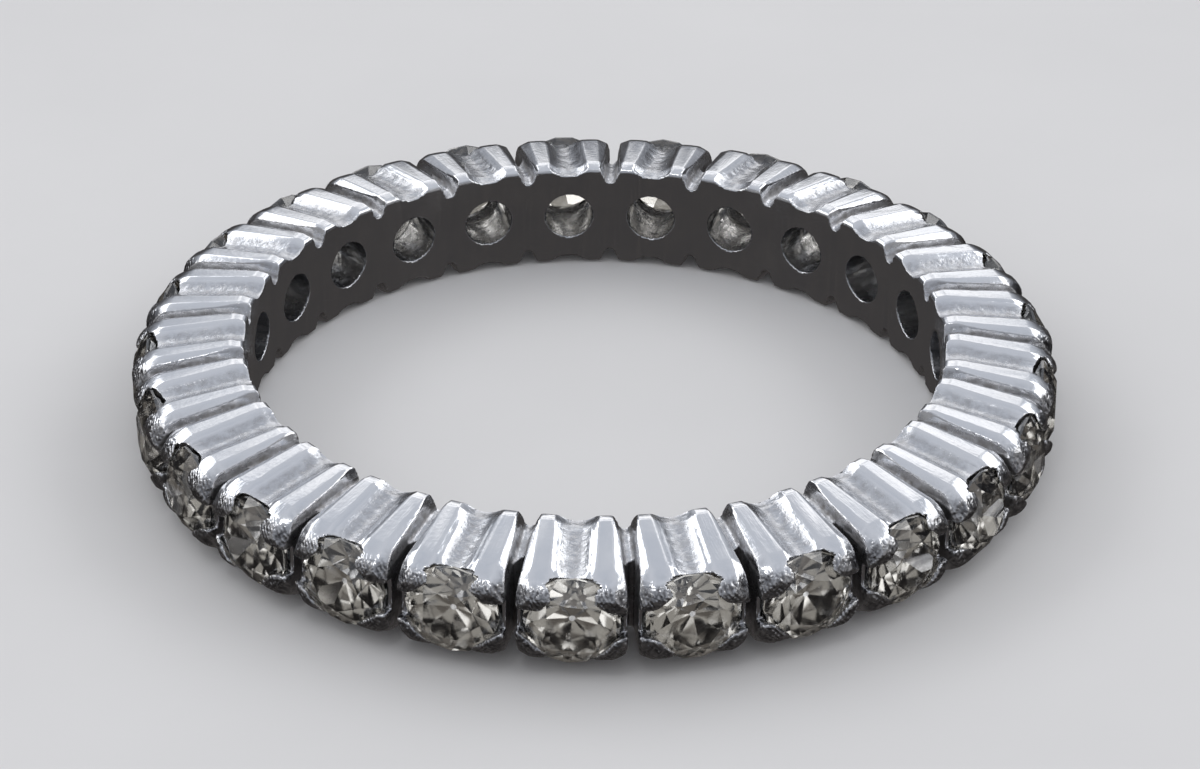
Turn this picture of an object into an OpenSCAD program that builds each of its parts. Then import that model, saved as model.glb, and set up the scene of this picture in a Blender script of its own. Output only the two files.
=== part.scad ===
/* [Finger hole] */
// Inside diameter of the ring, a true cylinder
bore_d = 17.3; // [15:0.1:21]

/* [Band] */
// Height of the ring along the finger, measured at the bore
band_h = 2.86; // [2.6:0.02:3.3]
// Metal from the bore out to the girdles of the stones
seat_depth = 2.4; // [2.2:0.05:3]
// How much lower a rib is at its claw than at the bore
rib_fall = 0.34; // [0.1:0.02:0.44]
// Rounding of the edge between the bore and the side faces
rim_round = 0.12; // [0.04:0.01:0.2]
// Rounding of the shoulder where a rib turns into its claw
shoulder_round = 0.42; // [0.2:0.02:0.5]

/* [Stones] */
// Diameter of each stone at its girdle
stone_d = 2.26; // [2:0.02:2.5]
// Diameter of the table, the flat facet on top
table_d = 1.26; // [1:0.02:1.4]
// Height of the crown, from the girdle to the table
crown_h = 0.34; // [0.24:0.01:0.4]
// Thickness of the girdle
girdle_t = 0.06; // [0.03:0.01:0.1]
// Depth of the pavilion, from the girdle to the culet
pavilion_h = 0.92; // [0.8:0.01:1.05]
// Diameter of the culet, the small facet at the bottom point
culet_d = 0.14; // [0.06:0.01:0.2]
// Share of the way from table to girdle where the star facets end
star_share = 0.45; // [0.35:0.05:0.6]
// Share of the way from culet to girdle where the lower half facets begin
half_share = 0.5; // [0.3:0.05:0.6]
// Turn of each stone about its own axis from the one before it
stone_turn = 17; // [0:1:45]
// Gap between a stone and the metal round it
stone_gap = 0.015; // [0.01:0.005:0.03]

/* [Settings] */
// Metal left beside each stone, between its seat and the saw slot
collet_wall = 0.13; // [0.1:0.01:0.2]
// Least width of the saw slot between two settings
slot_min_w = 0.2; // [0.12:0.01:0.35]
// Depth of the saw slot, inwards from the girdles
slot_depth = 1.15; // [0.8:0.05:1.4]
// How far a claw stands out beyond the girdle plane
claw_rise = 0.36; // [0.28:0.02:0.4]
// How far a claw reaches over the edge of its stone
claw_reach = 0.36; // [0.2:0.01:0.42]
// Open width between the left and the right claws
claw_gap_w = 0.9; // [0.7:0.02:1.1]
// Open height between the upper and the lower claws
claw_gap_h = 0.84; // [0.6:0.02:1]
// Diameter of the open hole behind each stone
azure_d = 1.24; // [0.9:0.02:1.5]
// Depth, inwards from the girdles, at which that hole begins to widen
azure_depth = 1.15; // [0.9:0.05:1.4]
// Depth of the open gallery behind the girdle
gallery_depth = 0.55; // [0.4:0.05:0.7]
// Width of the ledge that the stone's edge rests on
ledge_w = 0.12; // [0.08:0.01:0.2]

/* [Ribs] */
// Radius of the flute between the two ribs of a setting
flute_r = 0.5; // [0.4:0.02:0.6]
// Depth of that flute below the ribs
flute_depth = 0.2; // [0.1:0.02:0.3]
// Radius of the hollow between the ribs of two neighbouring settings
web_r = 0.24; // [0.16:0.01:0.32]
// Depth of that hollow below the ribs
web_depth = 0.4; // [0.2:0.02:0.5]
// Width of the bevel along each edge of a rib
bevel_w = 0.1; // [0.04:0.01:0.14]

/* [Hidden] */
$fn = 64;
// Free length that each cutter has beyond the metal
past = 0.4;
// Sides of a stone's table
crown_sides = 8;
// Straight steps round a shoulder and round the edge at the bore
shoulder_steps = 3;
rim_steps = 2;

bore_r = bore_d / 2;
mid_z = band_h / 2;
girdle_r = bore_r + seat_depth;
claw_r = girdle_r + claw_rise;
stone_r = stone_d / 2;
least_pitch = stone_d + 2 * collet_wall + slot_min_w;
stone_count = floor(2 * PI * girdle_r / least_pitch);
step_a = 360 / stone_count;
slot_w = 2 * girdle_r * sin(step_a / 2) - stone_d - 2 * collet_wall;
slope_a = atan(rib_fall / (claw_r - bore_r));

// Heights on a stone are measured outwards from the middle of its girdle
half_facet_a = 180 / crown_sides;
rim_z = girdle_t / 2;
table_r = table_d / 2;
table_z = rim_z + crown_h;
culet_r = culet_d / 2;
culet_z = -rim_z - pavilion_h;

// Height on the straight facet that runs from radius a at height za to radius b at height zb,
// for a point at radius r and half a facet to the side
function facet_z(a, za, b, zb, r) = za + (zb - za) * (r * cos(half_facet_a) - a) / (b - a);

// Corners where the crown's stars end and where the pavilion's halves begin
star_r = (table_r + star_share * (stone_r - table_r)) / cos(half_facet_a);
star_z = facet_z(table_r, table_z, stone_r, rim_z, star_r);
split_r = (culet_r + half_share * (stone_r - culet_r)) / cos(half_facet_a);
split_z = facet_z(culet_r, culet_z, stone_r, -rim_z, split_r);

function stone_name(i) = str("stone_", i < 10 ? "0" : "", i);

// Points of a rounded corner, from angle a to angle b
function corner(c, r, a, b, steps) =
    [for (i = [0:steps])
        let (t = a + (b - a) * i / steps)
        c + r * [cos(t), sin(t)]];

// Upper half of the section through the band: x from the axis, y above the middle
function upper_section() =
    let (top = mid_z, edge = mid_z - rib_fall)
    concat(
        [[girdle_r, claw_gap_h / 2], [claw_r, claw_gap_h / 2]],
        corner([claw_r - shoulder_round, edge - shoulder_round],
               shoulder_round, 0, 90 - slope_a, shoulder_steps),
        corner([bore_r + rim_round, top - rim_round], rim_round, 90, 180, rim_steps));

module band_section() {
    upper = upper_section();
    last = len(upper) - 1;
    lower = [for (i = [last:-1:0]) [upper[i][0], -upper[i][1]]];
    polygon(concat(upper, lower));
}

// Turns its children to the middle of setting i, the first one facing -Y
module at_setting(i) {
    rotate([0, 0, (i - 1) * step_a]) children();
}

// Section of a groove: a round bottom and a bevel on each edge
module groove_section(r, depth) {
    half = sqrt(r * r - pow(r - depth, 2));
    flare = half + bevel_w;
    translate([0, r - depth]) circle(r = r);
    polygon([[-flare - past, past], [-half, -bevel_w], [half, -bevel_w], [flare + past, past]]);
}

// Cuts a groove from the bore out over the top face, along the slope of the ribs
module top_groove(r, depth) {
    translate([0, -bore_r, mid_z])
        rotate([slope_a, 0, 0])
            translate([0, past, 0])
                rotate([90, 0, 0])
                    linear_extrude(height = claw_r - bore_r + 2 * past)
                        groove_section(r, depth);
}

// The same groove in the top and the bottom face
module both_grooves(r, depth) {
    top_groove(r, depth);
    mirror([0, 0, 1]) top_groove(r, depth);
}

// Room for a stone, its gallery and the open hole behind it, turned about the stone's axis
module seat() {
    fit_r = stone_r + stone_gap;
    gallery_r = fit_r - ledge_w;
    rim_fit = rim_z + stone_gap;
    ledge_drop = rim_fit + ledge_w * pavilion_h / (stone_r - culet_r);
    rotate([90, 0, 0])
        rotate_extrude()
            polygon([
                [0, bore_r - past],
                [azure_d / 2, bore_r - past],
                [azure_d / 2, girdle_r - azure_depth],
                [gallery_r, girdle_r - gallery_depth],
                [gallery_r, girdle_r - ledge_drop],
                [fit_r, girdle_r - rim_fit],
                [fit_r, girdle_r + rim_fit],
                [star_r + stone_gap, girdle_r + star_z + stone_gap],
                [table_r + stone_gap, girdle_r + table_z + stone_gap],
                [table_r + stone_gap, claw_r + past],
                [0, claw_r + past]]);
}

// Opening between the four claws: a square on its corner that trims their tips, and an
// upright slit that parts the left claws from the right ones
module claw_window() {
    corner_r = sqrt(2) * (stone_r - claw_reach);
    side = claw_gap_w / 2;
    translate([0, -girdle_r, 0])
        rotate([90, 0, 0])
            linear_extrude(height = claw_rise + past)
                polygon([
                    [side, -band_h], [side, side - corner_r], [corner_r, 0],
                    [side, corner_r - side], [side, band_h], [-side, band_h],
                    [-side, corner_r - side], [-corner_r, 0], [-side, side - corner_r],
                    [-side, -band_h]]);
}

// Saw slot between two settings, pointed at its inner end
module slot() {
    inner = girdle_r - slot_depth;
    translate([0, 0, -band_h])
        linear_extrude(height = 2 * band_h)
            polygon([[0, -inner], [slot_w / 2, -inner - slot_w],
                     [slot_w / 2, -claw_r - past], [-slot_w / 2, -claw_r - past],
                     [-slot_w / 2, -inner - slot_w]]);
}

// Places its children at the middle of every setting
module at_settings() {
    for (i = [1:stone_count]) at_setting(i) children();
}

// Places its children between every two neighbouring settings
module between_settings() {
    for (i = [1:stone_count]) at_setting(i + 0.5) children();
}

// The band, turned from -Y round and cut apart from outside by the saw slots
module slotted_band() {
    difference() {
        rotate([0, 0, -90]) rotate_extrude() band_section();
        between_settings() slot();
    }
}

// The slotted band with the hollows between its settings
module webbed_band() {
    difference() {
        slotted_band();
        between_settings() both_grooves(web_r, web_depth);
    }
}

// The webbed band with the flute of every setting, which leaves two ribs on each side face
module ribbed_band() {
    difference() {
        webbed_band();
        at_settings() both_grooves(flute_r, flute_depth);
    }
}

// The ribbed band with its outer ends parted into claws
module clawed_band() {
    difference() {
        ribbed_band();
        at_settings() claw_window();
    }
}

// The whole metal of the ring, with room for its stones
module band() {
    color("gainsboro")
        translate([0, 0, mid_z])
            difference() {
                clawed_band();
                at_settings() seat();
            }
}

// Ring of points about the axis of a stone, the first one at angle start
function facet_ring(count, r, z, start = 0) =
    [for (i = [0:count - 1]) [r * cos(start + i * 360 / count), r * sin(start + i * 360 / count), z]];

// A round old-cut stone: table, stars, kites and halves above the girdle, halves, mains and a
// culet below it. The girdle lies at z = 0 and the table faces +Z
module stone_shape() {
    n = crown_sides;
    // Rings of points in the order table, star, upper girdle, lower girdle, split, culet
    table_at = 0;
    star_at = n;
    upper_at = 2 * n;
    lower_at = 4 * n;
    split_at = 6 * n;
    culet_at = 7 * n;
    points = concat(
        facet_ring(n, table_r, table_z),
        facet_ring(n, star_r, star_z, half_facet_a),
        facet_ring(2 * n, stone_r, rim_z),
        facet_ring(2 * n, stone_r, -rim_z),
        facet_ring(n, split_r, split_z, half_facet_a),
        facet_ring(n, culet_r / cos(half_facet_a), culet_z, half_facet_a));
    faces = concat(
        [[for (i = [n - 1:-1:0]) table_at + i]],
        [[for (i = [0:n - 1]) culet_at + i]],
        [for (i = [0:n - 1])
            let (j = (i + 1) % n)
            [table_at + i, table_at + j, star_at + i]],
        [for (i = [0:n - 1])
            let (h = (i + n - 1) % n)
            [table_at + i, star_at + i, upper_at + 2 * i, star_at + h]],
        [for (i = [0:n - 1])
            [star_at + i, upper_at + 2 * i + 1, upper_at + 2 * i]],
        [for (i = [0:n - 1])
            let (j = (i + 1) % n)
            [star_at + i, upper_at + 2 * j, upper_at + 2 * i + 1]],
        [for (i = [0:2 * n - 1])
            let (j = (i + 1) % (2 * n))
            [upper_at + i, upper_at + j, lower_at + j, lower_at + i]],
        [for (i = [0:n - 1])
            [split_at + i, lower_at + 2 * i, lower_at + 2 * i + 1]],
        [for (i = [0:n - 1])
            let (j = (i + 1) % n)
            [split_at + i, lower_at + 2 * i + 1, lower_at + 2 * j]],
        [for (i = [0:n - 1])
            let (h = (i + n - 1) % n)
            [split_at + h, lower_at + 2 * i, split_at + i, culet_at + i, culet_at + h]]);
    polyhedron(points = points, faces = faces, convexity = 2);
}

// Stone i in its seat, table outwards
module stone(i) {
    color("lavender")
        translate([0, 0, mid_z])
            at_setting(i)
                translate([0, -girdle_r, 0])
                    rotate([90, 0, 0])
                        rotate([0, 0, i * stone_turn])
                            stone_shape();
}

band();
for (i = [1:stone_count]) {
    stone(i);
}
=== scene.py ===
from math import atan, cos, pi, radians, sin, tan, tau

import bpy
import numpy as np
from mathutils import Matrix, Vector


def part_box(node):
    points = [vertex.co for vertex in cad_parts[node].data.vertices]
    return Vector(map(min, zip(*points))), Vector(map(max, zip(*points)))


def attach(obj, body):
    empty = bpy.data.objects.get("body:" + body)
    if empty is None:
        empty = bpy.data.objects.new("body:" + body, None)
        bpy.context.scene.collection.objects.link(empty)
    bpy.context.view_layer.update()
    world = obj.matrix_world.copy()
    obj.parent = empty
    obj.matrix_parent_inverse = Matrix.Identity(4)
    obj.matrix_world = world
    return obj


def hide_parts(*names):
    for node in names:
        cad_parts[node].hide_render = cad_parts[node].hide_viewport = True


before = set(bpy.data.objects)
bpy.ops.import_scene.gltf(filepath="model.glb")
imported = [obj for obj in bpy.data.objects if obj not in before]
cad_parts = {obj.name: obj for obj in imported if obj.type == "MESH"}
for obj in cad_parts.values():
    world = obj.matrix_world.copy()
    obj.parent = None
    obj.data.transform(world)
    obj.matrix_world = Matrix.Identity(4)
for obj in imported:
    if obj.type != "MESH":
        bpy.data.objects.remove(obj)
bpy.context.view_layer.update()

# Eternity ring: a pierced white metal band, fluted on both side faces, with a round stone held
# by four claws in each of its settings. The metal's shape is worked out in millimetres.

MM = 0.001
HAND_SEED = 25

# Band, as high as the CAD model's
STONE_NAMES = sorted(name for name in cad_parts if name.startswith("stone_"))
SETTINGS = len(STONE_NAMES)
STEP = tau / SETTINGS
band_low, band_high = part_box("band")
BAND_MID = (band_low.z + band_high.z) / 2 / MM
HALF_HEIGHT = (band_high.z - band_low.z) / 2 / MM
BORE_R = 8.65
GIRDLE_R = 11.05
CLAW_R = 11.44
RIB_FALL = 0.34
RIM_ROUND = 0.14
SHOULDER_ROUND = 0.28
BEVEL_ROUND = 0.015
CUT_ROUND = 0.03

# Stones and the room cut for them: an open hole from the finger hole to AZURE_END_R, a gallery
# that is full from GALLERY_END_R, and a seat with a sloping ledge
STONE_R = 1.13
TABLE_R = 0.63
CROWN_H = 0.34
HALF_GIRDLE = 0.03
STONE_GAP = 0.015
CROWN_GAP = 2.6 * STONE_GAP
SEAT_DROP = 0.05
LEDGE_SLOPE = 1.15
LEDGE_COSINE = 0.656
AZURE_R = 0.62
AZURE_END_R = 9.9
GALLERY_R = 0.9
GALLERY_END_R = 10.5

# Side faces: in each setting two ribs with a flute between them. A rib's flat top runs from
# RIB_IN to RIB_OUT beside the middle of the setting, is highest at CREST_R and has a bevel
# on both sides
CREST_R = 8.95
CREST_DROP = 0.08
CREST_BLEND = 0.1
RIB_IN = 0.5
RIB_OUT = 0.8
RIB_WIDENS = 0.065
BEVEL_IN = 0.1
BEVEL_SLOPE = radians(25)
FLUTE_RUN = 1.0
FLUTE_DEPTH = 0.2
FLUTE_R = 0.52
FLUTE_R_AT_BORE = 0.74

# Hollows and saw slots between the settings. A hollow's walls lean out more at the bore, and
# a slot's edges are rounder at the claws
WEB_HALF = 0.15
WEB_DEPTH = 0.4
WEB_LEAN = 0.2
WEB_LEAN_AT_BORE = 0.52
SLOT_HALF = 0.12
SLOT_TIP_R = 9.93
SLOT_POINT = 0.1
SLOT_ROUND = 0.03
SLOT_ROUND_ADDED = 0.05
SLOT_ROUND_START_R = 10.9

# Claws. Each bulges a little and has a worn facet between its top and its upright face. What
# the slot and the seat cut from a claw is fully rounded from CLAW_CUT_FULL_R
CLAW_START_R = 10
CLAW_CUT_FULL_R = 11.2
FACET_LOW = 0.72
FACET_TURN = radians(32)
CLAW_LOW = 0.4
CLAW_SIDE = 0.38
CLAW_ROUND = 0.08
CLAW_CORNER = 0.08
CLAW_EDGE = 0.04
CLAW_FILLET = 0.04
CLAW_MIDDLE_U = 0.78
CLAW_MIDDLE_UP = 0.6
CLAW_PIVOT_U = 0.8
BULGE_U = 0.3
BULGE_UP = 0.25
SEAT_ROUND = 0.015
SEAT_ROUND_ADDED = 0.055
SEAT_ROUND_START_R = 11.08
CLAW_DENT = 0.009
DENT_START_R = 11.0
DENT_FULL_R = 11.25

METAL_TRIANGLES = 196_000

# Grid that the metal is worked out on: columns in a setting, how many of them run along the
# ribs on each side of its middle, and (place, spacing) stops outwards and upwards
COLUMNS = 50
RIB_COLUMNS = 20
ALONG_RIBS = 1.0
RADIAL_STOPS = ((8.6, 0.05), (8.85, 0.08), (10.45, 0.052), (11.47, 1))
UPWARD_STOPS = ((0, 0.09), (0.36, 0.052), (HALF_HEIGHT + 0.05, 1))

# Steps that measure the metal's slope, its curvature and the open room in front of it
SETTLE_REACH = 0.002
SLOPE_REACH = 0.01
CURVE_REACH = 0.05
ROOM_REACH = 0.35

# Moving points onto the metal: the longest move, and the least slope that is counted on
SETTLE_MOVE = 0.04
LEAST_SLOPE = 0.5

# Normals are split where they turn by CRISP_ANGLE from a corner to a place beside it, which is
# BESIDE_REACH away or, in a small face, BESIDE_SHARE of the way to the middle
CRISP_ANGLE = radians(6)
BESIDE_REACH = 0.03
BESIDE_SHARE = 0.4

# Painted shade and wear on the claws and in the flutes: where they start and where they are full,
# or the other way round for what is left bright
CLAW_SHADE_AND_WEAR_R = (11.02, 11.2)
CLAW_BRIGHT_UP = (0.88, 1.0)
FLUTE_SHADE_AND_WEAR_DEPTH = (0.04, 0.14)
FLUTE_SHADE_AND_WEAR_SLOPE = (0.3, 0.5)
FLUTE_BRIGHT_R = (10.9, 11.1)


# Shape of the metal
# The functions here give distances in millimetres, negative inside the metal. r is the radius,
# u the distance from the middle plane of a setting, across that from the plane between two
# settings, out that along the stone's axis, around that from this axis, and up the height
# above or below the middle of the band.

def join_round(a, b, radius):
    """Intersection of two solids, with the edge between them rounded off."""
    return (np.minimum(-radius, np.maximum(a, b))
            + np.hypot(np.maximum(radius + a, 0), np.maximum(radius + b, 0)))


def cut_round(a, tool, radius):
    """What is left of a solid after a cut, with the edge of the cut rounded off."""
    return join_round(a, -tool, radius)


def melt(a, b, radius):
    """Union of two solids with a fillet between them."""
    return -join_round(-a, -b, radius)


def ease(x, start, end):
    share = np.clip((x - start) / (end - start), 0, 1)
    return share * share * (3 - 2 * share)


def rib_plane(r, up):
    """Distance from the tops of the ribs, which fall away outwards and a little at the bore."""
    slope = atan(RIB_FALL / (CLAW_R - CREST_R))
    drop = CREST_DROP * (1 - ease(r, BORE_R, CREST_R + CREST_BLEND))
    return (up - HALF_HEIGHT + drop) * cos(slope) + (r - CREST_R) * sin(slope)


class Handwork:
    """Small differences between the settings, as a jeweller's hand leaves them.

    Claw values are indexed by setting, side (left, right) and face (lower, upper)."""

    def __init__(self, seed):
        rng = np.random.default_rng(seed)

        def about(middle, spread, *shape):
            return middle + spread * rng.uniform(-1, 1, shape)

        claws = (SETTINGS, 2, 2)
        self.claw_low = about(CLAW_LOW, 0.035, *claws)
        self.claw_tilt = about(-0.18, 0.22, *claws)
        self.claw_side = about(CLAW_SIDE, 0.035, *claws)
        self.claw_rise = about(-0.03, 0.03, *claws)
        self.trim_turn = about(radians(50), radians(7), *claws)
        self.trim_at = about(0.84, 0.06, *claws)
        self.trim_at[:, :, 0] += 0.07
        self.rib_shift = about(0, 0.015, SETTINGS, 2)
        self.flute_depth = about(FLUTE_DEPTH, 0.015, SETTINGS, 2)
        self.facet_low = about(FACET_LOW, 0.05, *claws)
        self.slot_slant = about(-1.0, 0.5, SETTINGS)
        self.slot_tip = about(SLOT_TIP_R, 0.04, SETTINGS)
        self.web_depth = about(WEB_DEPTH, 0.02, SETTINGS, 2)

        # The setting that faces the viewer: its two upper claws and the slots beside it
        self.slot_slant[[-1, 0]] = -1.9, -1.0
        self.facet_low[0, :, 1] = 0.72
        self.claw_low[0, :, 1] = 0.4, 0.41
        self.claw_tilt[0, :, 1] = 0.0, -0.4
        self.trim_turn[0, :, 1] = radians(57), radians(48)
        self.trim_at[0, :, 1] = 0.69, 0.76


hand = Handwork(HAND_SEED)


def rib_profile(top, shoulder, u, across, r, k, face, beside):
    """Cuts the flute, the bevels and the hollow between two settings into a side face."""
    run = ease(r, BORE_R, BORE_R + FLUTE_RUN)
    shift = hand.rib_shift[k, face]
    slope_in = (RIB_IN + shift - u) * sin(BEVEL_SLOPE) + shoulder * cos(BEVEL_SLOPE)
    rib_out = RIB_OUT + shift + RIB_WIDENS * (r - BORE_R)
    slope_out = (u - rib_out) * sin(BEVEL_SLOPE) + shoulder * cos(BEVEL_SLOPE)
    bevels = np.maximum(slope_out, np.minimum(slope_in, shoulder + BEVEL_IN * tan(BEVEL_SLOPE)))
    flute_r = FLUTE_R_AT_BORE + (FLUTE_R - FLUTE_R_AT_BORE) * run
    flute = flute_r - np.hypot(u, top - flute_r + hand.flute_depth[k, face])
    web_depth = hand.web_depth[beside, face]
    lean = WEB_LEAN_AT_BORE + (WEB_LEAN - WEB_LEAN_AT_BORE) * run
    above = top + web_depth - WEB_HALF
    wall = np.maximum(across - np.maximum(above, 0) * lean, 0)
    web = (WEB_HALF - np.hypot(wall, np.minimum(above, 0))) / np.hypot(1, lean)
    ribs = join_round(shoulder, bevels, BEVEL_ROUND)
    ribs = join_round(ribs, flute, CUT_ROUND)
    return join_round(ribs, web, CUT_ROUND)


def claw_posts(u, up, claw, outer, shoulder):
    """Four posts that stand out beyond the girdle and reach over the stone."""
    below = hand.claw_low[claw] + hand.claw_tilt[claw] * (u - CLAW_PIVOT_U) - up
    beside = hand.claw_side[claw] - u
    turn = hand.trim_turn[claw]
    trim = hand.trim_at[claw] - (np.cos(turn) * u + np.sin(turn) * up)
    outline = join_round(join_round(below, beside, CLAW_CORNER), trim, CLAW_CORNER)
    return join_round(join_round(outer, shoulder, CLAW_EDGE), outline, CLAW_ROUND)


def stone_room(around, out):
    """Open hole, gallery and seat of a stone, turned about the stone's own axis."""
    fit = STONE_R + STONE_GAP
    crown_slope = atan(CROWN_H / (STONE_R - TABLE_R))
    crown = ((around - fit) * sin(crown_slope)
             + (out - GIRDLE_R - HALF_GIRDLE - CROWN_GAP) * cos(crown_slope))
    funnel_slope = (GALLERY_R - AZURE_R) / (GALLERY_END_R - AZURE_END_R)
    funnel = (around - AZURE_R - (out - AZURE_END_R) * funnel_slope) * cos(atan(funnel_slope))
    gallery = np.maximum(np.maximum(around - GALLERY_R, funnel), crown)
    above_ledge = out - GIRDLE_R + HALF_GIRDLE + SEAT_DROP
    ledge = (around - fit - above_ledge * LEDGE_SLOPE) * LEDGE_COSINE
    seat = np.maximum(np.maximum(around - fit, ledge), crown)
    return np.minimum(np.minimum(around - AZURE_R, gallery), seat)


def dents(x, y, z):
    """Shallow uneven dents about a fifth of a millimetre across, from -1.5 to 1.5."""
    swells = (np.sin(31 * x + 11 * z + 2 * np.sin(17 * y)) * np.sin(27 * y - 13 * x + 1.3)
              * np.sin(29 * z + 9 * x + 0.7))
    ripples = 0.5 * np.sin(61 * x - 23 * y + 47 * z)
    return swells + ripples


def ring_metal(points):
    """Distance to the surface of the whole metal of the ring."""
    x, y, z = points
    r = np.hypot(x, y)
    angle = np.arctan2(x, -y)
    turn = np.rint(angle / STEP)
    local = angle - turn * STEP
    k = turn.astype(int) % SETTINGS
    side = (local > 0).astype(int)
    beside = (k - 1 + side) % SETTINGS
    face = (z > 0).astype(int)
    u = np.abs(r * np.sin(local))
    out = r * np.cos(local)
    up = np.abs(z)
    across = r * np.sin(STEP / 2 - np.abs(local))

    claw = (k, side, face)
    bulge = BULGE_U * (u - CLAW_MIDDLE_U) ** 2 + BULGE_UP * (up - CLAW_MIDDLE_UP) ** 2
    outer = r - CLAW_R - hand.claw_rise[claw] + bulge
    facet = outer * cos(FACET_TURN) + (up - hand.facet_low[claw]) * sin(FACET_TURN)
    top = rib_plane(r, up)
    shoulder = join_round(top, facet, SHOULDER_ROUND)
    body = join_round(join_round(shoulder, BORE_R - r, RIM_ROUND), r - GIRDLE_R, CUT_ROUND)
    claws = np.maximum(claw_posts(u, up, claw, outer, shoulder), CLAW_START_R - r)
    metal = melt(body, claws, CLAW_FILLET)
    metal = np.maximum(metal, rib_profile(top, shoulder, u, across, r, k, face, beside))

    slanted_r = r + hand.slot_slant[beside] * np.where(side == 1, across, -across)
    mouth = SLOT_HALF * np.clip((slanted_r - hand.slot_tip[beside]) / SLOT_POINT, -1, 1)
    slot = np.maximum(across - mouth, hand.slot_tip[beside] - slanted_r)
    slot_round = SLOT_ROUND + SLOT_ROUND_ADDED * ease(r, SLOT_ROUND_START_R, CLAW_CUT_FULL_R)
    seat_round = SEAT_ROUND + SEAT_ROUND_ADDED * ease(r, SEAT_ROUND_START_R, CLAW_CUT_FULL_R)
    metal = cut_round(metal, slot, slot_round)
    metal = cut_round(metal, stone_room(np.hypot(u, z), out), seat_round)
    return metal + CLAW_DENT * ease(r, DENT_START_R, DENT_FULL_R) * dents(x, y, z)


# Mesh of the metal

def grid_lines(*stops):
    """Grid lines through (place, spacing) stops, each spacing holding up to the next stop."""
    lines = []
    for (start, spacing), (end, _) in zip(stops, stops[1:]):
        count = max(1, round((end - start) / spacing))
        lines += [start + (end - start) * i / count for i in range(count)]
    return np.array(lines + [stops[-1][0]])


def column_angle(column, r):
    """Angle of a grid column: columns run along the ribs and spread out beside the slots."""
    turn = np.floor(column / COLUMNS)
    beside = column - (turn + 0.5) * COLUMNS
    count = np.abs(beside)
    half_pitch = r * sin(STEP / 2)
    spread = (half_pitch - ALONG_RIBS) * (count - RIB_COLUMNS) / (COLUMNS / 2 - RIB_COLUMNS)
    u = np.where(count < RIB_COLUMNS, ALONG_RIBS * count / RIB_COLUMNS, ALONG_RIBS + spread)
    return turn * STEP + np.sign(beside) * np.arcsin(u / r)


def surface_net(field, radii, heights):
    """Quads over the zero level of a field on a grid that closes on itself round the finger."""
    columns = len(field)
    solid = field < 0
    around = np.concatenate([solid, solid[:1]])
    steps = (0, 1)
    filled = sum(around[i:columns + i, j:len(radii) - 1 + j, m:len(heights) - 1 + m]
                 .astype(np.int8) for i in steps for j in steps for m in steps)
    cells = np.nonzero((filled > 0) & (filled < 8))
    a, r, z = cells
    number = np.full(filled.shape, -1, np.int32)
    number[cells] = np.arange(len(a))

    corner = {(i, j, m): field[(a + i) % columns, r + j, z + m]
              for i in steps for j in steps for m in steps}
    place = np.zeros((3, len(a)))
    hits = np.zeros(len(a))
    for start, first in corner.items():
        for axis in range(3):
            if start[axis]:
                continue
            second = corner[tuple(c + (n == axis) for n, c in enumerate(start))]
            crossed = (first < 0) != (second < 0)
            share = np.where(crossed, first / np.where(crossed, first - second, 1), 0)
            for n in range(3):
                place[n] += crossed * (start[n] + (share if n == axis else 0))
            hits += crossed
    place /= hits
    radius = radii[r] + place[1] * np.diff(radii)[r]
    angle = column_angle(a + place[0], radius)
    points = np.array([radius * np.sin(angle), -radius * np.cos(angle),
                       heights[z] + place[2] * np.diff(heights)[z]])

    quads, cores = [], []
    places = np.arange(field.size).reshape(field.shape)
    for axis in range(3):
        low, high = solid, np.roll(solid, -1, axis=axis)
        if axis:
            low, high = low.swapaxes(axis, 2)[..., :-1], high.swapaxes(axis, 2)[..., :-1]
            low, high = low.swapaxes(axis, 2), high.swapaxes(axis, 2)
        i, j, m = np.nonzero(low != high)
        into = low[i, j, m]
        ring_of_cells = [[(i, j - 1, m - 1), (i, j, m - 1), (i, j, m), (i, j - 1, m)],
                         [(i - 1, j, m - 1), (i - 1, j, m), (i, j, m), (i, j, m - 1)],
                         [(i - 1, j - 1, m), (i, j - 1, m), (i, j, m), (i - 1, j, m)]][axis]
        quad = np.stack([number[c] for c in ring_of_cells], axis=1)
        quads.append(np.where(into[:, None], quad[:, ::-1], quad))
        cores.append(np.where(into, places[i, j, m], np.roll(places, -1, axis=axis)[i, j, m]))
    return points, np.concatenate(quads), np.concatenate(cores)


def parted(points, quads, cores):
    """Gives each of two sheets of metal that touch at a point its own point there.

    A core is the grid point inside the metal that a quad covers."""
    ends = np.stack([quads, np.roll(quads, -1, axis=1)], axis=2)
    edges = ends.min(axis=2).astype(np.int64) * points.shape[1] + ends.max(axis=2)
    known, uses = np.unique(edges, return_counts=True)
    crowded = uses[np.searchsorted(known, edges)] > 2
    joints = np.where(crowded, -edges * (cores.max() + 1) - cores[:, None], edges)
    touching = np.nonzero(np.isin(quads, ends[crowded]).any(axis=1))[0]
    added = []
    for point in np.unique(ends[crowded]):
        sheets = []
        for quad in touching[(quads[touching] == point).any(axis=1)]:
            here = {joint for joint, end in zip(joints[quad], ends[quad]) if point in end}
            met = [sheet for sheet in sheets if sheet[1] & here]
            sheets = [sheet for sheet in sheets if not sheet[1] & here]
            sheets.append((sum((sheet[0] for sheet in met), [quad]),
                           here.union(*(sheet[1] for sheet in met))))
        for members, _ in sheets[1:]:
            rows = quads[members]
            rows[rows == point] = points.shape[1] + len(added)
            quads[members] = rows
            added.append(points[:, point])
    return np.concatenate([points, np.array(added).reshape(-1, 3).T], axis=1), quads


def gradient(points, reach):
    slope = np.zeros_like(points)
    for axis in range(3):
        step = np.zeros((3, 1))
        step[axis] = reach
        slope[axis] = ring_metal(points + step) - ring_metal(points - step)
    return slope / (2 * reach)


def unit(vectors):
    return vectors / np.maximum(np.sqrt((vectors ** 2).sum(0)), 1e-9)


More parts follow.
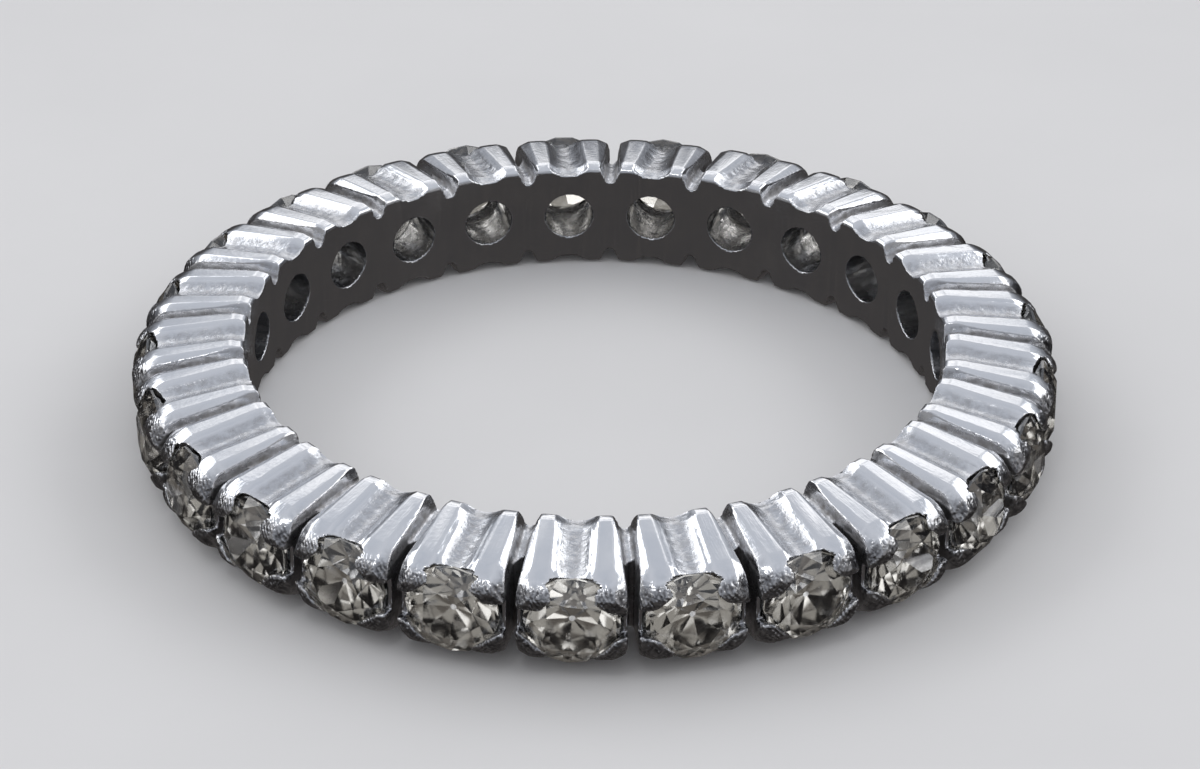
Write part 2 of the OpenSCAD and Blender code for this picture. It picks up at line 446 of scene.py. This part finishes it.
def settle(points, rounds):
    """Moves points onto the surface of the metal."""
    for _ in range(rounds):
        slope = gradient(points, SETTLE_REACH)
        size = np.maximum((slope ** 2).sum(0), LEAST_SLOPE ** 2)
        move = np.clip(ring_metal(points), -SETTLE_MOVE, SETTLE_MOVE)
        points = points - move * slope / size
    return points


def read(collection, attribute, width=1, kind=np.float64):
    values = np.zeros(len(collection) * width, kind)
    collection.foreach_get(attribute, values)
    return values


def thinned(mesh, triangles):
    """The same mesh with its flat stretches made of fewer faces."""
    holder = bpy.data.objects.new("thinning", mesh)
    bpy.context.scene.collection.objects.link(holder)
    thinner = holder.modifiers.new("thinner", "DECIMATE")
    thinner.ratio = triangles / (2 * len(mesh.polygons))
    shown = holder.evaluated_get(bpy.context.evaluated_depsgraph_get())
    thin = bpy.data.meshes.new_from_object(shown)
    bpy.data.objects.remove(holder)
    return thin


def corner_normals(mesh, points):
    """Normals taken from the metal's own shape, kept apart where a face meets a crisp edge."""
    corner_point = read(mesh.loops, "vertex_index", kind=np.int32)
    starts = read(mesh.polygons, "loop_start", kind=np.int32)
    sizes = read(mesh.polygons, "loop_total", kind=np.int32)
    middles = np.add.reduceat(points[:, corner_point], starts, axis=1) / sizes
    inwards = np.repeat(middles, sizes, axis=1) - points[:, corner_point]
    length = np.maximum(np.sqrt((inwards ** 2).sum(0)), 1e-9)
    reach = np.minimum(BESIDE_SHARE, BESIDE_REACH / length)
    at_point = unit(gradient(points, SLOPE_REACH))[:, corner_point]
    beside = unit(gradient(points[:, corner_point] + inwards * reach, SLOPE_REACH))
    crisp = (at_point * beside).sum(0) < cos(CRISP_ANGLE)
    return np.where(crisp, beside, at_point)


def wear_and_shade_masks(points):
    """How far each point lies in a recess, on a sharp edge, on a claw and in a flute, 0 to 1: masks
    for painted shade in recesses, flutes and on claws, and for wear.
    """
    smooth = unit(gradient(points, SLOPE_REACH))
    open_room = ring_metal(points + ROOM_REACH * smooth) / ROOM_REACH
    sharpness = sum(ring_metal(points + step * axis[:, None])
                    for step in (-CURVE_REACH, CURVE_REACH) for axis in np.eye(3)) / CURVE_REACH
    x, y, z = points
    r = np.hypot(x, y)
    up = np.abs(z)
    return {
        "recess": np.clip(1 - open_room, 0, 1),
        "edge": np.clip(sharpness, 0, 1),
        "claw": ease(r, *CLAW_SHADE_AND_WEAR_R) * (1 - ease(up, *CLAW_BRIGHT_UP)),
        "flute": ease(-rib_plane(r, up), *FLUTE_SHADE_AND_WEAR_DEPTH)
                 * ease(np.abs(smooth[2]), *FLUTE_SHADE_AND_WEAR_SLOPE) * (1 - ease(r, *FLUTE_BRIGHT_R)),
    }


def make_metal():
    radii = grid_lines(*RADIAL_STOPS)
    upper = grid_lines(*UPWARD_STOPS)
    heights = np.concatenate([-upper[:0:-1], upper])
    angles = column_angle(np.arange(SETTINGS * COLUMNS)[:, None, None], radii[None, :, None])
    grid = np.broadcast_arrays(radii[None, :, None] * np.sin(angles),
                               -radii[None, :, None] * np.cos(angles), heights[None, None, :])
    points, quads = parted(*surface_net(ring_metal(grid), radii, heights))
    dense = bpy.data.meshes.new("dense_metal")
    dense.from_pydata(settle(points, 3).T.tolist(), [], quads.tolist())
    mesh = thinned(dense, METAL_TRIANGLES)
    bpy.data.meshes.remove(dense)
    mesh.name = "ring_metal"
    points = settle(read(mesh.vertices, "co", 3).reshape(-1, 3).T, 1)
    mesh.vertices.foreach_set("co", (points.T * MM + [0, 0, BAND_MID * MM]).ravel())
    mesh.shade_smooth()
    mesh.normals_split_custom_set(corner_normals(mesh, points).T.tolist())
    for name, values in wear_and_shade_masks(points).items():
        mesh.attributes.new(name, "FLOAT", "POINT").data.foreach_set("value", values)
    return mesh


# Materials

# Colours of the metal where it is polished or hazy, the painted shade in a flute, on a claw
# and in a recess, and the colour of a rubbed edge
POLISHED = (0.80, 0.82, 0.86, 1)
HAZY = (0.87, 0.88, 0.90, 1)
FLUTE_PAINTED_SHADE = (0.52, 0.52, 0.53, 1)
CLAW_PAINTED_SHADE = (0.10, 0.095, 0.10, 1)
RECESS_PAINTED_SHADE = (0.36, 0.34, 0.325, 1)
RUBBED_EDGE = (0.95, 0.95, 0.96, 1)
EDGE_SHARE = 0.8

# Roughness of polished metal, and what haze, the claws, the flutes and the recesses add to it
POLISHED_ROUGHNESS = 0.11
HAZE_ROUGHNESS = 0.07
CLAW_ROUGHNESS = 0.14
FLUTE_ROUGHNESS = 0.16
RECESS_ROUGHNESS = 0.3

# Relief of the metal: shares of polishing lines, pits and waves, its height in metres, and how
# much shorter the pattern of lines is outwards and upwards than round a ring of MIDDLE_R
LINE_SHARE = 0.25
PIT_SHARE = 0.08
PIT_SHARE_CLAW = 1.2
WAVE_SHARE = 1.2
LINE_STRETCH_OUT = 0.06
LINE_STRETCH_UP = 0.5
MIDDLE_R = 10.5
RELIEF_STRENGTH = 0.35
RELIEF_HEIGHT = 0.00003

# Stones: clean and under a thin film
CLEAN_STONE = (0.98, 0.97, 0.94, 1)
FILMED_STONE = (0.91, 0.88, 0.83, 1)
STONE_ROUGHNESS = 0.055
FILM_ROUGHNESS = 0.05
STONE_IOR = 2.42

PALE_FLOOR = (0.66, 0.66, 0.67, 1)
PALER_FLOOR = (0.69, 0.69, 0.70, 1)
FLOOR_ROUGHNESS = 0.7


def add(tree, kind, settings=(), **inputs):
    """A node with its settings and inputs. An input takes a value or another node's output, and
    is given by its name, or by its number after an underscore."""
    node = tree.nodes.new("ShaderNode" + kind)
    for name, value in dict(settings).items():
        setattr(node, name, value)
    for name, value in inputs.items():
        place = int(name[1:]) if name[0] == "_" else name.replace("_", " ")
        socket = node.inputs[place]
        if isinstance(value, bpy.types.NodeSocket):
            tree.links.new(value, socket)
        else:
            socket.default_value = value
    return node


def maths(tree, operation, *values):
    node = add(tree, "Math", {"operation": operation},
               **{f"_{i}": value for i, value in enumerate(values)})
    return node.outputs[0]


def product(tree, first, second):
    return maths(tree, "MULTIPLY", first, second)


def total(tree, *values):
    result = values[0]
    for value in values[1:]:
        result = maths(tree, "ADD", result, value)
    return result


def mixed(tree, share, first, second):
    """Mix of two colours, which are inputs 6 and 7 of the node and its output 2."""
    node = add(tree, "Mix", {"data_type": "RGBA"}, _0=share, _6=first, _7=second)
    return node.outputs[2]


def new_group(name, inputs, outputs):
    group = bpy.data.node_groups.new(name, "ShaderNodeTree")
    for direction, sockets in (("INPUT", inputs), ("OUTPUT", outputs)):
        for socket, value in sockets.items():
            made = group.interface.new_socket(socket, in_out=direction,
                                              socket_type="NodeSocketFloat")
            made.default_value = value
    return group, group.nodes.new("NodeGroupInput"), group.nodes.new("NodeGroupOutput")


def make_mottle_group():
    """Uneven patches, from Low to High, about one over Scale metres across.

    They are softer at a low Detail."""
    group, given, result = new_group("mottle", {"Scale": 1000, "Detail": 4, "Low": 0, "High": 1},
                                     {"Value": 0})
    place = add(group, "TexCoord").outputs["Object"]
    noise = add(group, "TexNoise", Vector=place, Scale=given.outputs["Scale"],
                Detail=given.outputs["Detail"], Roughness=0.6)
    spread = add(group, "MapRange", Value=noise.outputs[0], From_Min=0.32, From_Max=0.68,
                 To_Min=given.outputs["Low"], To_Max=given.outputs["High"])
    group.links.new(spread.outputs[0], result.inputs["Value"])
    return group


def make_scratch_group():
    """Fine lines left by polishing, running out from the finger hole and round the band."""
    group, given, result = new_group("polishing_lines", {"Scale": 30000}, {"Height": 0})
    place = add(group, "SeparateXYZ", Vector=add(group, "TexCoord").outputs["Object"])
    x, y, z = place.outputs
    radius = maths(group, "SQRT", total(group, product(group, x, x), product(group, y, y)))
    round_way = product(group, maths(group, "ARCTAN2", x, y), MIDDLE_R * MM)
    lines = add(group, "CombineXYZ", X=product(group, radius, LINE_STRETCH_OUT), Y=round_way,
                Z=product(group, z, LINE_STRETCH_UP))
    noise = add(group, "TexNoise", Vector=lines.outputs[0], Scale=given.outputs["Scale"],
                Detail=2, Roughness=0.5)
    group.links.new(noise.outputs[0], result.inputs["Height"])
    return group


def place_group(tree, group, **inputs):
    node = tree.nodes.new("ShaderNodeGroup")
    node.node_tree = group
    for name, value in inputs.items():
        node.inputs[name].default_value = value
    return node.outputs[0]


def new_material(name):
    material = bpy.data.materials.new(name)
    material.use_nodes = True
    return material, material.node_tree, material.node_tree.nodes["Principled BSDF"]


mottle = make_mottle_group()
polishing_lines = make_scratch_group()


def make_white_metal():
    material, tree, shader = new_material("white_metal")
    wear_and_shade = {name: add(tree, "Attribute", {"attribute_name": name}).outputs["Fac"]
            for name in ("recess", "edge", "claw", "flute")}
    patches = place_group(tree, mottle, Scale=5200, Low=0.25, High=1)
    haze = place_group(tree, mottle, Scale=900, Low=0, High=1)

    # Claw tips darkened in the base colour: painted shade, a painted dark reflection; their added
    # roughness and pits are wear
    claw_shade_and_wear = product(tree, wear_and_shade["claw"],
                        place_group(tree, mottle, Scale=7000, Low=0.6, High=1))
    # Flute bottoms darkened in the base colour the deeper they lie: painted shade; their added
    # roughness and waves are finish
    flute_shade_and_wear = product(tree, wear_and_shade["flute"], patches)
    # Recesses darkened in the base colour by how closed in they are: painted shade, which also
    # makes them rougher
    recess_shade = product(tree, maths(tree, "POWER", wear_and_shade["recess"], 3), patches)
    colour = mixed(tree, haze, POLISHED, HAZY)
    colour = mixed(tree, flute_shade_and_wear, colour, FLUTE_PAINTED_SHADE)
    colour = mixed(tree, claw_shade_and_wear, colour, CLAW_PAINTED_SHADE)
    colour = mixed(tree, recess_shade, colour, RECESS_PAINTED_SHADE)
    colour = mixed(tree, product(tree, wear_and_shade["edge"], EDGE_SHARE), colour, RUBBED_EDGE)
    tree.links.new(colour, shader.inputs["Base Color"])
    shader.inputs["Metallic"].default_value = 1

    rough = total(tree, product(tree, haze, HAZE_ROUGHNESS), POLISHED_ROUGHNESS,
                  product(tree, claw_shade_and_wear, CLAW_ROUGHNESS),
                  product(tree, flute_shade_and_wear, FLUTE_ROUGHNESS),
                  product(tree, recess_shade, RECESS_ROUGHNESS))
    tree.links.new(rough, shader.inputs["Roughness"])

    off_claws = maths(tree, "SUBTRACT", 1, wear_and_shade["claw"])
    lines = product(tree, place_group(tree, polishing_lines, Scale=30000),
                    product(tree, off_claws, LINE_SHARE))
    pits = product(tree, place_group(tree, mottle, Scale=8000, Detail=1, Low=0, High=1),
                   total(tree, product(tree, wear_and_shade["claw"], PIT_SHARE_CLAW), PIT_SHARE))
    waves = product(tree, place_group(tree, mottle, Scale=3000, Low=0, High=1),
                    product(tree, wear_and_shade["flute"], WAVE_SHARE))
    bump = add(tree, "Bump", Strength=RELIEF_STRENGTH, Distance=RELIEF_HEIGHT,
               Height=total(tree, lines, pits, waves))
    tree.links.new(bump.outputs[0], shader.inputs["Normal"])
    return material


def make_stone_glass():
    material, tree, shader = new_material("stone")
    film = place_group(tree, mottle, Scale=1500, Low=0, High=1)
    tree.links.new(mixed(tree, film, CLEAN_STONE, FILMED_STONE), shader.inputs["Base Color"])
    tree.links.new(total(tree, product(tree, film, FILM_ROUGHNESS), STONE_ROUGHNESS),
                   shader.inputs["Roughness"])
    shader.inputs["Transmission Weight"].default_value = 1
    shader.inputs["IOR"].default_value = STONE_IOR
    return material


def make_floor_paint():
    material, tree, shader = new_material("floor")
    clouds = place_group(tree, mottle, Scale=60, Low=0, High=1)
    tree.links.new(mixed(tree, clouds, PALE_FLOOR, PALER_FLOOR), shader.inputs["Base Color"])
    shader.inputs["Roughness"].default_value = FLOOR_ROUGHNESS
    return material


# Light and camera

# The room as shiny surfaces see it and as it is seen through the stones, low and high, and the
# even light that matt surfaces get. It changes within HORIZON of level, as a share of upright
ROOM_LOW = (0.052, 0.048, 0.047, 1)
ROOM_HIGH = (0.045, 0.045, 0.05, 1)
INSIDE_LOW = (0.12, 0.11, 0.10, 1)
INSIDE_HIGH = (0.36, 0.35, 0.33, 1)
DAYLIGHT = (0.80, 0.80, 0.81, 1)
HORIZON = 0.25

# Pale patches that shiny surfaces see, the later over the earlier: azimuth, elevation, the
# angles within which a patch is full and at which it has faded, colour
PATCHES = (
    (0, 55, 26, 62, (0.33, 0.345, 0.38, 1)),
    (180, 64, 36, 66, (0.53, 0.555, 0.61, 1)),
    (-62, 8, 6, 34, (0.30, 0.30, 0.31, 1)),
    (62, 8, 6, 34, (0.30, 0.30, 0.31, 1)),
    (-170, 36, 1, 10, (1.2, 1.2, 1.22, 1)),
    (170, 36, 1, 10, (1.2, 1.2, 1.22, 1)),
    (-174, 20, 1, 10, (1.2, 1.2, 1.22, 1)),
    (174, 20, 1, 10, (1.2, 1.2, 1.22, 1)),
)

# Bright spots that are seen through the stones: azimuth, elevation
SPOTS = ((-38, 42), (48, 22), (8, 78), (-110, 30), (120, 35), (180, 25))
SPOT_FULL = 8
SPOT_FADED = 17
SPOT_COLOUR = (1.5, 1.5, 1.5, 1)

# Light panels: name, azimuth, elevation, distance, size, radiance
PANELS = (
    ("left_panel", -112, 40, 0.5, (0.64, 0.17), 1.35),
    ("right_panel", 112, 40, 0.5, (0.64, 0.17), 1.35),
    ("key_panel", -25, 66, 0.6, (0.08, 0.08), 6),
)

# Camera, fitted to the photograph: angles in degrees, places in the photograph's pixels. The
# middle of the ring is at RING_X, RING_Y, where a length of FITTED_R is HALF_RING_PX long
CAMERA_ELEVATION = 30.6
CAMERA_AZIMUTH = 2.5
CAMERA_ROLL = 0.42
CAMERA_DISTANCE = 0.110
IMAGE_W = 1200
IMAGE_H = 769
FOCAL_PX = 4392
SENSOR_W = 36
RING_X = 594.7
RING_Y = 427.5
HALF_RING_PX = 439.2
FITTED_R = 0.011

FLOOR_HALF = 1.5


def from_angles(azimuth, elevation):
    """Direction from the ring at angles in degrees. Azimuth 0 is the front, 90 the right."""
    turn = radians(azimuth)
    rise = radians(elevation)
    return Vector((sin(turn) * cos(rise), -cos(turn) * cos(rise), sin(rise)))


def add_panel(name, azimuth, elevation, distance, size, radiance):
    data = bpy.data.lights.new(name, "AREA")
    data.shape = "RECTANGLE"
    data.size, data.size_y = size
    data.energy = radiance * size[0] * size[1] * pi
    panel = bpy.data.objects.new(name, data)
    away = from_angles(azimuth, elevation)
    panel.location = away * distance
    panel.rotation_euler = away.to_track_quat("Z", "Y").to_euler()
    bpy.context.scene.collection.objects.link(panel)


def make_studio():
    """Even light for the floor; what shines or is clear sees a pale ceiling in a dim room."""
    world = bpy.data.worlds.new("studio")
    world.use_nodes = True
    tree = world.node_tree
    way = add(tree, "TexCoord").outputs["Generated"]

    def soft_step(value, start, end):
        return add(tree, "MapRange", {"interpolation_type": "SMOOTHSTEP"},
                   Value=value, From_Min=start, From_Max=end).outputs[0]

    def patch(azimuth, elevation, full, faded):
        middle = from_angles(azimuth, elevation)
        towards = add(tree, "VectorMath", {"operation": "DOT_PRODUCT"}, _0=way, _1=middle)
        return soft_step(towards.outputs["Value"], cos(radians(faded)), cos(radians(full)))

    height = soft_step(add(tree, "SeparateXYZ", Vector=way).outputs["Z"], -HORIZON, HORIZON)
    path = add(tree, "LightPath")
    seen = mixed(tree, height, ROOM_LOW, ROOM_HIGH)
    for azimuth, elevation, full, faded, pale in PATCHES:
        seen = mixed(tree, patch(azimuth, elevation, full, faded), seen, pale)
    inside = mixed(tree, height, INSIDE_LOW, INSIDE_HIGH)
    for azimuth, elevation in SPOTS:
        inside = mixed(tree, patch(azimuth, elevation, SPOT_FULL, SPOT_FADED), inside, SPOT_COLOUR)
    seen = mixed(tree, path.outputs["Is Transmission Ray"], seen, inside)
    colour = mixed(tree, path.outputs["Is Diffuse Ray"], seen, DAYLIGHT)
    tree.links.new(colour, tree.nodes["Background"].inputs["Color"])
    bpy.context.scene.world = world
    for panel in PANELS:
        add_panel(*panel)


def make_camera():
    azimuth = radians(CAMERA_AZIMUTH)
    right = Vector((cos(azimuth), sin(azimuth), 0))
    towards_camera = from_angles(CAMERA_AZIMUTH, CAMERA_ELEVATION)
    up = towards_camera.cross(right)
    metres_per_pixel = FITTED_R / HALF_RING_PX
    target = (right * (IMAGE_W / 2 - RING_X)
              + up * (RING_Y - IMAGE_H / 2)) * metres_per_pixel
    data = bpy.data.cameras.new("camera")
    data.sensor_width = SENSOR_W
    data.lens = FOCAL_PX * SENSOR_W / IMAGE_W
    data.clip_start = MM
    camera = bpy.data.objects.new("camera", data)
    camera.location = towards_camera * CAMERA_DISTANCE
    z = (camera.location - target).normalized()
    x = Vector((0, 0, 1)).cross(z).normalized()
    level = Matrix((x, z.cross(x), z)).transposed()
    camera.rotation_euler = (level @ Matrix.Rotation(radians(CAMERA_ROLL), 3, "Z")).to_euler()
    bpy.context.scene.collection.objects.link(camera)
    bpy.context.scene.camera = camera


def make_floor():
    mesh = bpy.data.meshes.new("floor")
    corners = [(x * FLOOR_HALF, y * FLOOR_HALF, 0) for x, y in ((-1, -1), (1, -1), (1, 1), (-1, 1))]
    mesh.from_pydata(corners, [], [(0, 1, 2, 3)])
    mesh.materials.append(make_floor_paint())
    floor = bpy.data.objects.new("floor", mesh)
    bpy.context.scene.collection.objects.link(floor)
    floor.visible_glossy = False
    floor.visible_transmission = False


# The ring

metal_mesh = make_metal()
metal_mesh.materials.clear()
metal_mesh.materials.append(make_white_metal())
ring_metal_piece = bpy.data.objects.new("ring_metal", metal_mesh)
bpy.context.scene.collection.objects.link(ring_metal_piece)
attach(ring_metal_piece, "root")
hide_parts("band")

stone_glass = make_stone_glass()
for name in STONE_NAMES:
    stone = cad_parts[name]
    stone.data.materials.clear()
    stone.data.materials.append(stone_glass)

make_floor()
make_studio()
make_camera()
bpy.context.scene.view_settings.view_transform = "Standard"
